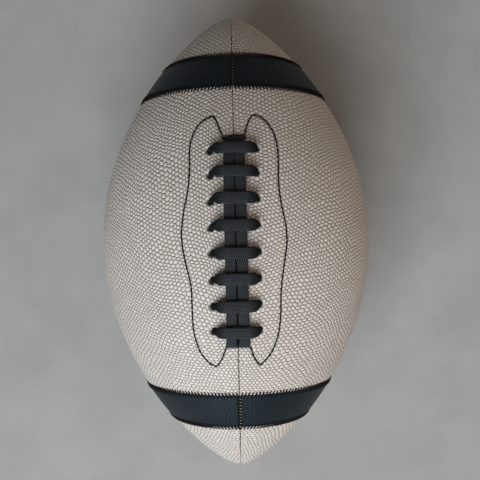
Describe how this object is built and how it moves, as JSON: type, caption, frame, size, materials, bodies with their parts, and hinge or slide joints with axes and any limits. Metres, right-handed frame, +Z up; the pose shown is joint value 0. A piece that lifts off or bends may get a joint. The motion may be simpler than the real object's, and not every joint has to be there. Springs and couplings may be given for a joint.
{
  "type": "american football",
  "caption": "Full-size american football on its side, laces up: pebbled leather panels with sewn stripes, woven lace, linings, facings, bladder and needle valve.",
  "frame": {"origin": "on the resting surface, under the middle of the ball", "axes": "+Y along the ball's long axis, +Z up through the laces, +X to the right as the picture is seen"},
  "size_m": [0.1696, 0.2878, 0.1751],
  "materials": {
    "leather": "pebbled, satin",
    "lining": "woven",
    "stripe": "pebbled, satin",
    "facing": "smooth",
    "lace": "embossed",
    "tongue": "woven",
    "bladder": "smooth",
    "valve": "smooth",
    "plug": "smooth"
  },
  "bodies": {
    "root": {"panel_top_right": "leather", "panel_top_left": "leather", "panel_bottom_left": "leather", "panel_bottom_right": "leather", "lining_top_right": "lining", "lining_top_left": "lining", "lining_bottom_left": "lining", "lining_bottom_right": "lining", "stripe_far_right": "stripe", "stripe_far_left": "stripe", "stripe_near_right": "stripe", "stripe_near_left": "stripe", "facing_right": "facing", "facing_left": "facing", "lace": "lace", "lace_tongue": "tongue", "bladder": "bladder", "valve_boot": "valve", "valve_plug": "plug"}
  },
  "joints": []
}
